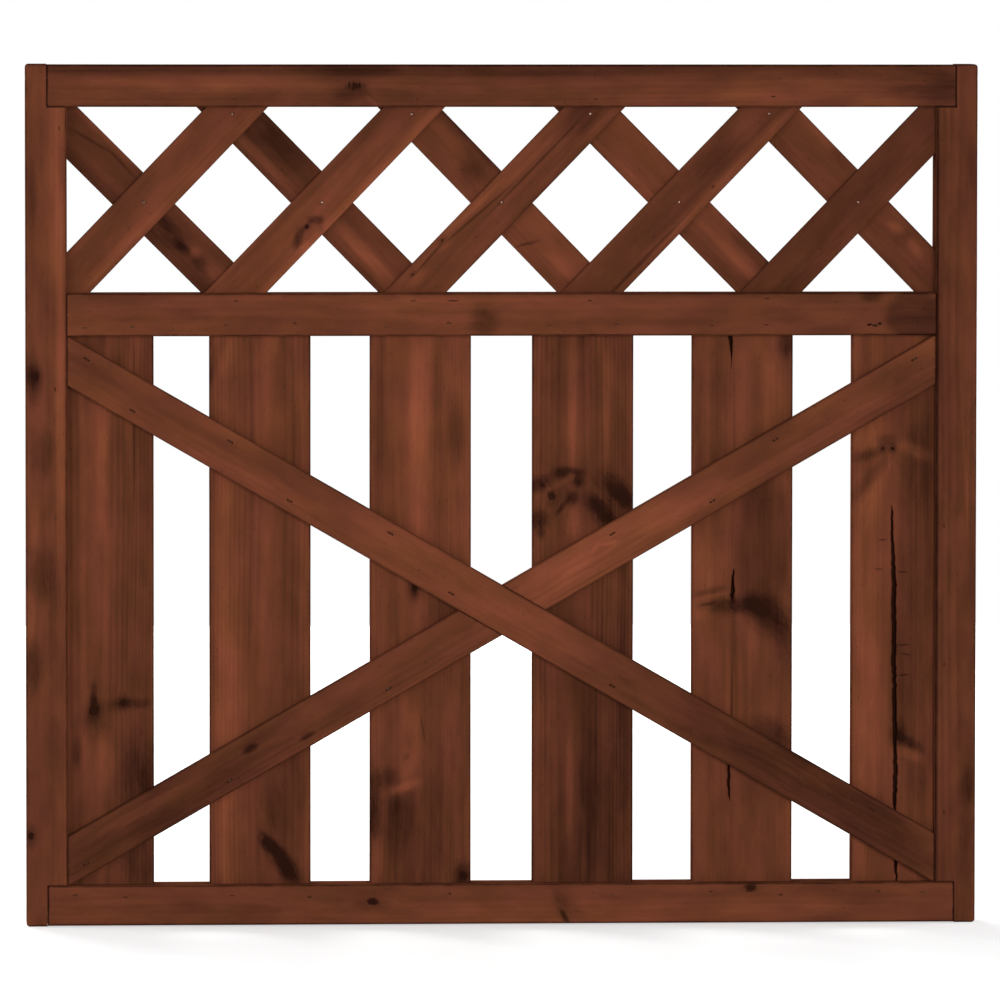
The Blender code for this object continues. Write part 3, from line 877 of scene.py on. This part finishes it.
frameBoards = {
    "left_stile": {"tone": 0.6, "pith": (60, 30), "edgy": 1.5, "knots": [
        (-490, 578, 4.5, 1.0, 0, 0.75), (-495, 96, 4.0, 1.1, 0, 0.6),
    ], "shades": [
        (-493, 575, 22, 7.5, 0, -0.32, *soft), (-483, 497, 24, 13, 0, -0.18), (-482, 370, 26, 15, 0, -0.2),
        (-493, 272, 24, 9, 0, -0.24), (-464, 467, 170, 5, 0, 0.12), (-491, 425, 22, 5, 0, 0.14),
        (-494, 323, 24, 4, 0, 0.18), (-464, 762, 90, 5, 0, 0.1), (-440, 318, 3, 2, 0, -0.4, *crisp),
        (-493, 760, 30, 6, 0, -0.12), (-476, 640, 30, 10, 0, -0.08), (-478, 180, 40, 12, 0, -0.06),
        (-468, 600, 260, 8.5, 0, 0.05, 0.3, 0.05, 0.0), (-466, 510, 75, 4.5, 0, 0.12, *soft),
    ]},
    "right_stile": {"tone": 0.52, "pith": (55, -25), "lined": 2.2, "ringWidth": 3.2, "edgy": 1.5, "shades": [
        (491, 145, 20, 8, 0, -0.22), (493, 89, 80, 6, 0, -0.12), (487, 499, 90, 1.6, 3, 0.08, *hair),
        # the mark at x 458.5 is painted shade along the stile's inner edge, beside the slats
        (491, 499, 90, 1.6, -1, 0.08, *hair), (458.5, 441, 420, 1.6, 0, -0.3, *hair),
        (478, 120, 120, 18, 0, -0.09), (474, 660, 50, 8, 0, 0.06), (492, 760, 60, 6, 0, -0.1),
        (468, 420, 30, 6, 0, 0.08),
    ]},
    "top_rail": {"tone": 0.62, "pith": (60, 30), "edgy": 1.6, "knots": [
        (-154, 882, 3, 1.4, 0, 0.6),
    ], "shades": [
        # the first three marks darken the top edge: painted shade on the rounded top arris
        (0, 900, 480, 9, 0, -0.22), (-390, 899, 100, 8, 0, -0.18), (-160, 899, 40, 9, 0, -0.16),
        (-163, 874, 15, 8, 10, -0.2, *soft), (-142, 871, 9, 4, -35, -0.12), (-138, 867, 9, 2.5, -35, 0.16),
        (-161, 883, 0.8, 4, 4, -0.45, *crisp), (-157, 882, 0.8, 5, -5, -0.5, *crisp),
        (-150, 883, 0.8, 3.5, 8, -0.45, *crisp), (446, 883, 44, 24, 0, -0.22), (472, 872, 26, 18, 0, -0.14),
        (60, 893, 50, 6, 0, -0.08), (250, 878, 70, 6, 0, 0.06), (-300, 880, 60, 6, 0, 0.06),
    ]},
    "middle_rail": {"tone": 0.61, "pith": (65, -20), "edgy": 1.7, "shades": [
        (-20, 636, 14, 14, 0, -0.24), (438, 640, 36, 26, 0, -0.28, 0.35, 0.4, 0.1),
        (388, 661, 10, 5, 0, -0.28), (386, 631.5, 2.6, 1.3, 10, -0.7, *crisp),
        (392, 630.5, 3.0, 1.1, -6, -0.65, *crisp), (397, 632.5, 2.0, 1.4, 0, -0.6, *crisp),
        (-106, 644, 80, 18, 0, 0.08), (-422, 657, 60, 8, 0, -0.1), (-52, 657, 6, 0.9, 0, -0.45, *crisp),
        (365, 644, 40, 18, 0, 0.06), (-250, 652, 60, 5, 0, -0.08), (150, 634, 70, 5, 0, -0.05),
        (-350, 634, 50, 5, 0, 0.08),
    ]},
    "bottom_rail": {"tone": 0.65, "pith": (50, 24), "edgy": 1.7, "knots": [
        (-136, 25, 5, 1.5, 0, 0.5), (262, 38, 5, 1.6, 0, 0.5),
    ], "shades": [
        (-300, 20, 60, 8, 0, -0.08), (150, 30, 60, 7, 0, -0.08), (400, 22, 50, 12, 0, -0.1),
        (62, 21, 19, 6, -68, -0.2, *soft), (66, 8, 9, 2.4, -60, -0.4), (72, 22, 15, 7, -60, -0.14, *soft),
    ]},
}
slatBoards = {
    "slat_1": {"tone": 0.6, "pith": (36, 10), "lined": 2.0, "ringWidth": 3.0, "knots": [
        (-429, 227, 5.4, 1.2, 0, 0.62), (-398, 235, 4.2, 0.8, 0, 0.62),
    ], "shades": [
        (-429, 241, 14, 3.5, 0, -0.32), (-386, 234, 5, 18, 0, -0.24, *soft),
        (-413, 231, 7, 11, 0, -0.14, *soft), (-421, 483, 60, 5, 0, 0.16), (-376, 531, 130, 9, 0, -0.12),
        (-383, 166, 32, 18, 0, -0.22, *soft), (-375, 150, 26, 9, 0, -0.14, *soft),
        (-447, 182, 15, 4.5, 0, -0.3, *soft), (-379, 68, 22, 16, 0, -0.2), (-438, 73, 24, 15, 0, -0.12),
        (-416, 168, 28, 9, 0, 0.1), (-429, 214, 14, 14, 0, -0.18, *soft),
        (-386, 531, 95, 1.1, 0, -0.26, *hair), (-384, 320, 170, 18, 0, -0.09), (-455, 560, 60, 6, 0, -0.08),
        (-400, 420, 50, 5, 0, 0.06), (-419, 150, 130, 50, 0, -0.05),
    ]},
    "slat_2": {"tone": 0.64, "pith": (40, -12), "lined": 2.2, "ringWidth": 3.0, "knots": [
        (-249, 87, 3.5, 1.2, 20, 0.6),
    ], "shades": [
        (-288, 341, 290, 14, 0, 0.09), (-231, 300, 230, 20, 0, -0.12), (-232, 67, 24, 7.5, 36, -0.46, *soft),
        (-240, 82, 12, 5, 36, -0.3), (-223, 58, 15, 9, 26, -0.24, *soft), (-241, 118, 26, 9, 0, -0.2, *soft),
        (-303, 592, 24, 6, -12, -0.18, *soft), (-286, 604, 20, 7, -20, 0.12, *soft),
        (-213, 152, 80, 9, 0, -0.12), (-230, 590, 40, 10, 0, -0.12), (-210, 440, 120, 5, 0, 0.1),
        (-236, 130, 100, 36, 0, -0.08), (-262, 470, 150, 4, 0, -0.08),
    ]},
    "slat_3": {"tone": 0.66, "pith": (42, 12), "lined": 1.3, "knots": [
        (-92, 354, 3.0, 1.3, 0, 0.75), (-40.3, 51, 4.8, 1.0, 0, 0.6),
    ], "shades": [
        (-84, 520, 120, 14, 0, 0.18), (-93, 562, 80, 5, 0, 0.08), (-48, 520, 32, 10, 0, -0.16),
        (-59, 329, 28, 15, 0, -0.16), (-92, 356, 20, 8, 0, -0.22), (-121, 155, 9, 10, 0, -0.28, *soft),
        (-136, 138, 24, 8, 0, -0.44, *soft), (-136, 106, 18, 8, 0, -0.4, *soft),
        (-103.6, 144, 4.5, 16, 20, 0.26, *soft), (-98, 163, 20, 7, -10, 0.14, *soft),
        (-113, 127, 10, 7, 0, -0.14, *soft), (-106, 112, 28, 16, 0, -0.22, *soft),
        (-88, 84, 60, 44, 0, -0.14), (-80, 190, 130, 55, 0, -0.07), (-65, 141, 110, 3.5, 0, -0.12),
        (-100, 177, 3.4, 3.4, 0, -0.16, *soft), (-83, 206, 14, 0.9, 9, -0.2, *hair),
        (-95, 213, 14, 10, 0, 0.1), (-131, 531, 120, 7, 0, -0.1), (-40, 51, 16, 12, 0, -0.16),
    ]},
    "slat_4": {"tone": 0.51, "pith": (36, 12), "lined": 2.6, "ringWidth": 2.9, "knots": [
        (52.3, 451, 5.2, 1.1, 20, 0.38),
    ], "shades": [
        (74, 552, 85, 5, 0, 0.22), (63, 476, 5.5, 9, 8, -0.4, *soft), (77.7, 477, 3.5, 8, -12, -0.34, *soft),
        (80, 467, 6, 5.5, 0, -0.42, *soft), (39, 464, 6.5, 12, 28, -0.42, *soft),
        (74, 449, 7, 6, 0, -0.4, *soft), (63, 438.6, 10, 2.4, -38, -0.28, *soft),
        (38, 426, 10, 10, 0, -0.42, *soft), (41.4, 411, 5, 4, 0, -0.26, *soft),
        (123, 455, 23, 10.5, 47, -0.42, *soft), (128, 449, 12, 6, 47, -0.14),
        (109, 431, 16, 9.5, 42, -0.42, *soft), (111.4, 426, 7, 6, 42, -0.12),
        (96.6, 444.4, 10, 6.5, 35, -0.28, *soft), (74.6, 424, 18, 6.5, 0, 0.24, *soft),
        (85, 456, 34, 46, 0, -0.14), (110, 552, 70, 5, 0, 0.1), (102, 163, 130, 30, 0, -0.16),
        (72, 152, 60, 4, 0, 0.2), (94, 131, 100, 8, 0, -0.14), (44, 330, 60, 6, 0, -0.08),
        (120, 270, 60, 9, 0, -0.1), (56, 461, 3, 17, 30, 0.12, *soft), (85, 190, 150, 60, 0, -0.06),
    ]},
    "slat_5": {"tone": 0.61, "pith": (46, -12), "lined": 0.8, "streaky": 0.75, "knots": [
        (244, 340, 2.4, 1.0, 0, 0.4),
    ], "shades": [
        (241.8, 335, 8, 24, 0, -0.38, *soft), (266, 336, 14, 10, 60, -0.24, *soft),
        (283.7, 322, 24, 16, 48, -0.28, *soft), (296.7, 300, 30, 11, 15, -0.24, *soft),
        (219, 350, 3.4, 17, 12, -0.22, *soft), (217, 336.6, 1.8, 9, 14, -0.24),
        (220, 344, 3, 14, 16, 0.1, *soft), (208, 329, 9, 8, -30, 0.14, *soft), (266, 300, 26, 8, 5, 0.1),
        (245, 304, 30, 3, 0, -0.12), (216, 375, 30, 14, 0, 0.12), (275, 395, 80, 30, 0, -0.22, 0.4, 0.1, 0.2),
        (298, 611, 14, 8, 0, -0.32), (239, 247, 60, 3, 0, 0.1), (252, 247, 45, 2.5, 0, 0.08),
        (245, 510, 90, 1.2, 0, -0.14, *hair), (262, 247, 50, 2, 0, 0.08),
        # the mark at (286, 200) is a painted shadow along the upper edge of the brace
        (243, 234, 40, 1.0, 0, -0.26, *hair), (286, 200, 22, 13, 55, -0.28), (250, 190, 130, 55, 0, -0.05),
        (220, 530, 110, 22, 0, -0.07), (280, 560, 40, 10, 0, 0.06), (243, 420, 44, 1.0, 0, -0.12, *hair),
    ]},
    "slat_6": {"tone": 0.62, "pith": (30, 4), "knots": [
        (402, 500.5, 1.8, 1.0, 0, 0.6), (412.4, 500, 2.2, 1.0, 0, 0.7), (419, 197, 4.4, 1.2, 0, 0.65),
    ], "shades": [
        (381, 513, 16, 11, 0, 0.18), (388.6, 494.4, 5, 16, 18, -0.28, *soft),
        (389.5, 470, 29, 6.5, -38, -0.22, *soft), (407, 509, 6, 11, 0, -0.2), (432, 532, 44, 22, 0, -0.18),
        (435.7, 498, 6.5, 19, -27, 0.24, *soft), (441, 470, 24, 16, 0, -0.12), (390, 446, 36, 9, -15, 0.12),
        (409, 488, 8, 2, 0, 0.12), (441, 331, 210, 25, 0, -0.17, 0.25, 0.1, 0.2),
        (389, 289, 190, 15, 0, 0.13), (431, 190, 5, 13, -28, -0.3, *soft), (434, 176, 5, 13, -28, 0.2, *soft),
        (402, 404, 1.0, 4, 4, -0.32), (398, 373, 1.0, 4, -5, -0.28), (423, 370, 1.0, 5, -6, -0.28),
        (425, 293, 1.0, 6, 4, -0.26), (427, 283, 1.0, 5, -8, -0.22), (425, 261, 1.0, 5, 5, -0.26),
        (419, 200, 16, 8, 0, -0.16),
    ]},
}
frontLaths = [
    {"tone": 0.59, "shades": [
        (-405, 705, 60, 5, 0, 0.14), (-395, 770, 40, 12, 0, -0.12), (-320, 820, 50, 8, 0, -0.08),
    ]},
    {"tone": 0.67, "knots": [(-205, 734.5, 2.4, 1.2, 0, 0.8)], "shades": [
        (-196, 742, 8, 4, -46, -0.34), (-190, 735, 9, 3, 44, -0.15, *soft), (-214, 722, 11, 4.5, 30, -0.36),
        (-207, 712, 8, 5, -20, 0.12), (-165, 752, 140, 6, 0, 0.12), (-200, 774, 130, 5, 0, -0.14),
        (-270, 690, 40, 12, 0, -0.08), (-120, 850, 40, 12, 0, -0.08),
    ]},
    {"tone": 0.6, "knots": [(-63, 720, 1.8, 1.2, 0, 0.45), (-94, 684, 1.6, 1.2, 0, 0.4)], "shades": [
        (34, 797, 60, 1.4, 0, -0.24, 0.9, 0.2, 0.2), (-28, 745, 44, 1.4, -5, -0.26, 0.9, 0.2, 0.2),
        (-76, 702, 22, 1.3, 3, -0.26, 0.9, 0.2, 0.2), (-90, 680, 10, 5, 0, 0.16, *soft),
        (-60, 714, 8, 4, 0, 0.12, *soft), (26, 800, 50, 3, 0, 0.12), (-34, 751, 40, 3, -4, 0.14),
        (40, 760, 100, 9, 0, -0.16), (0, 785, 110, 6, 0, 0.12), (82, 850, 28, 14, 0, -0.2),
    ]},
    {"tone": 0.58, "streaky": 0.7, "shades": [
        (226, 806, 32, 13, 0, -0.2, *soft), (222, 776, 2.4, 1.1, 0, -0.34, *crisp),
        (235, 785, 120, 5, 0, 0.18), (150, 700, 60, 2, 0, -0.25, *hair), (180, 745, 40, 8, 0, -0.1),
    ]},
    {"tone": 0.47, "streaky": 0.5, "shades": [(300, 690, 40, 8, 0, 0.08), (400, 790, 60, 8, 0, -0.08)]},
]
rearLaths = [
    {"tone": 0.48, "knots": [(-336, 713.5, 3.4, 1.2, 0, 0.75)], "shades": [
        (-430, 824, 26, 1.8, 14, -0.16), (-398, 800, 20, 1.8, -2, -0.16),
        (-347, 729, 19, 12, 0, -0.28, *soft), (-321, 707, 6, 5, 0, 0.24, *soft),
        (-317, 697, 10, 7, 0, -0.28, *soft), (-415, 832, 46, 5, 0, 0.16), (-360, 745, 20, 5, 0, -0.2),
        (-300, 685, 20, 8, 0, 0.12),
    ]},
    {"tone": 0.41, "shades": [
        (-234, 832, 40, 20, 0, -0.24), (-262, 848, 20, 8, 0, 0.16), (-130, 690, 55, 8, 0, 0.24, *soft),
        (-115, 705, 60, 7, 0, 0.1), (-262, 815, 50, 5, 0, 0.12), (-150, 715, 30, 8, 0, 0.12),
    ]},
    {"tone": 0.68, "shades": [
        (27, 716, 12, 1.6, 60, -0.26), (-52, 846, 26, 9, 0, -0.18), (-24, 806, 20, 10, 0, -0.14),
        (61, 692, 18, 7, 0, 0.1), (-32, 790, 13, 11, 0, -0.18), (-20, 812, 55, 4, 0, -0.16),
        (-60, 830, 30, 6, 0, 0.08), (40, 735, 16, 8, 0, 0.06),
    ]},
    {"tone": 0.57, "shades": [
        (138.5, 783.5, 60, 6, 0, 0.22), (175, 815, 50, 7, 0, -0.16), (255, 690, 50, 6, 0, 0.12),
        (272, 700, 50, 7, 0, -0.16),
    ]},
    {"tone": 0.56, "shades": [
        (357, 806, 12, 6, 0, -0.18, *soft), (416, 733, 10, 5, 20, 0.2), (436, 712, 12, 5, -10, 0.16),
        (423, 722, 8, 10, 0, -0.1), (340, 830, 40, 8, 0, 0.12), (400, 690, 50, 8, 0, -0.18),
        (410, 715, 60, 22, 0, -0.06),
    ]},
]
braceBoards = {
    "brace_over": {"tone": 0.66, "edgy": 0.5, "shades": [
        (330, 141, 150, 40, 0, -0.29), (146, 247, 90, 40, 0, -0.1), (-60, 366, 120, 30, 0, 0.12),
        (-422, 575, 50, 26, 0, -0.08), (-275, 483, 110, 7, 0, 0.07), (-290, 506, 110, 6, 0, -0.07),
        (-350, 530, 40, 12, 0, -0.08),
    ]},
    "brace_under": {"tone": 0.65, "edgy": 0.5, "lined": 1.6, "shades": [
        (-338, 137, 150, 40, 0, -0.22), (-150, 245, 60, 30, 0, -0.08), (104, 392, 100, 40, 0, 0.22),
        (112, 402, 11, 2.4, -20, 0.14, 0.9, 1.2, 0.0), (98, 398, 7, 2, 25, 0.12, 0.9, 1.2, 0.0),
        (-265, 187, 8, 4, 0, -0.34), (-205, 200, 8, 3, 0, -0.34), (430, 580, 40, 24, 0, -0.14),
        (209, 452, 50, 16, 0, 0.06), (300, 505, 60, 26, 0, -0.08), (-380, 122, 80, 5, 0, 0.1),
    ]},
}

lathBoards = {}
for layer, laths, edgy in (("front", frontLaths, 0.1), ("rear", rearLaths, 0.15)):
    for number, lath in enumerate(laths, 1):
        lathBoards[f"lattice_{layer}_lath_{number}"] = {"edgy": edgy, **lath}

boardSets = {                  # the slot, the boards, and how far the long edges are rounded, in millimetres
    "frame": ("frame_wood", frameBoards, 3.7),
    "slats": ("slat_wood", slatBoards, 2.5),
    "lattice": ("lath_wood", lathBoards, 1.5),
    "braces": ("brace_wood", braceBoards, 2.5),
}


def makeBoards():
    seed, seedStep = 1.0, 1.3
    for word, (slot, boards, ease) in boardSets.items():
        for node, board in boards.items():
            makeBoard(node, board, ease, seed)
            seed += seedStep
        print(word, "made")


pockets = makePockets()
makeBoards()
makeFasteners()
throwAway(*pockets)


# Floor, light and camera

studio = {
    "floorSize": (7.0, 9.0),
    "floorColour": (0.82, 0.82, 0.82, 1), "floorRoughness": 0.9,
    "floorGlow": 0.46,         # what the camera sees of the floor even in full shadow
    "worldLight": 0.21,
    "target": (0, 0, 0.45),
}
lamps = {                      # watts, place and size
    "key": (183, (0.7, -5.8, 1.1), 2.2),
    "fill": (62, (-3.2, -4.8, 1.2), 3.0),
    "back": (230, (-1.5, 4.6, 2.6), 3.0),
    "left": (150, (-5.0, 0.9, 1.6), 3.0),
    "right": (150, (5.0, 0.9, 1.6), 3.0),
}
photoView = {
    "place": (-0.58324, -10.0, 1.01439),
    "turn": 3.330,             # degrees to the right of square on
    "dip": 3.245,              # degrees below level
    "lean": 0.051,
    "lens": 343.3,
    "reach": 100,
}


def seenRay(tree):  # 1 for what the camera sees directly, in a mirror or through glass
    path = addNode(tree, "ShaderNodeLightPath").outputs
    seen = calc(tree, "MAXIMUM", path["Is Camera Ray"], path["Is Glossy Ray"])
    return calc(tree, "MAXIMUM", seen, path["Is Transmission Ray"])


def chosen(tree, unseen, seen):  # one shader for the camera's rays and one for all others
    return addNode(tree, "ShaderNodeMixShader", {0: seenRay(tree), 1: unseen, 2: seen}).outputs[0]


def makeFloor():
    floor = newObject("studioFloor", bpy.ops.mesh.primitive_plane_add, size=1)
    place(floor, Matrix.Diagonal((*studio["floorSize"], 1, 1)))
    material, tree, shader = newMaterial("paleFloor")
    setInputs(tree, shader, {
        "Base Color": studio["floorColour"],
        "Roughness": studio["floorRoughness"],
        "Specular IOR Level": 0.0,
    })
    glow = addNode(tree, "ShaderNodeEmission", {"Strength": studio["floorGlow"]}).outputs[0]
    both = addNode(tree, "ShaderNodeAddShader", {0: shader.outputs[0], 1: glow}).outputs[0]
    setInputs(tree, tree.nodes["Material Output"], {"Surface": chosen(tree, shader.outputs[0], both)})
    finishWith(floor, material)


def makeWorld():
    world = bpy.data.worlds.new("studioWorld")
    bpy.context.scene.world = world
    world.use_nodes = True
    tree = world.node_tree
    light, white = (
        addNode(tree, "ShaderNodeBackground", {"Color": (1, 1, 1, 1), "Strength": strength}).outputs[0]
        for strength in (studio["worldLight"], 1.0)
    )
    setInputs(tree, tree.nodes["World Output"], {"Surface": chosen(tree, light, white)})


def addLamp(name, watts, spot, size):
    lamp = newObject(name, bpy.ops.object.light_add, type="AREA", location=spot)
    lamp.data.energy = watts
    lamp.data.size = size
    aim = Vector(studio["target"]) - lamp.location
    lamp.rotation_euler = aim.to_track_quat("-Z", "Y").to_euler()


def makeCamera():
    camera = newObject("photoCamera", bpy.ops.object.camera_add, location=photoView["place"])
    camera.data.lens = photoView["lens"]
    camera.data.clip_end = photoView["reach"]
    turn = Matrix.Rotation(-math.radians(photoView["turn"]), 3, "Z")
    dip = Matrix.Rotation(math.radians(90 - photoView["dip"]), 3, "X")
    lean = Matrix.Rotation(math.radians(photoView["lean"]), 3, "Z")
    camera.rotation_euler = (turn @ dip @ lean).to_euler()
    bpy.context.scene.camera = camera


makeFloor()
makeWorld()
for word, (watts, spot, size) in lamps.items():
    addLamp(word + "Lamp", watts, spot, size)
makeCamera()
bpy.context.scene.view_settings.view_transform = "Standard"
print("studio made")
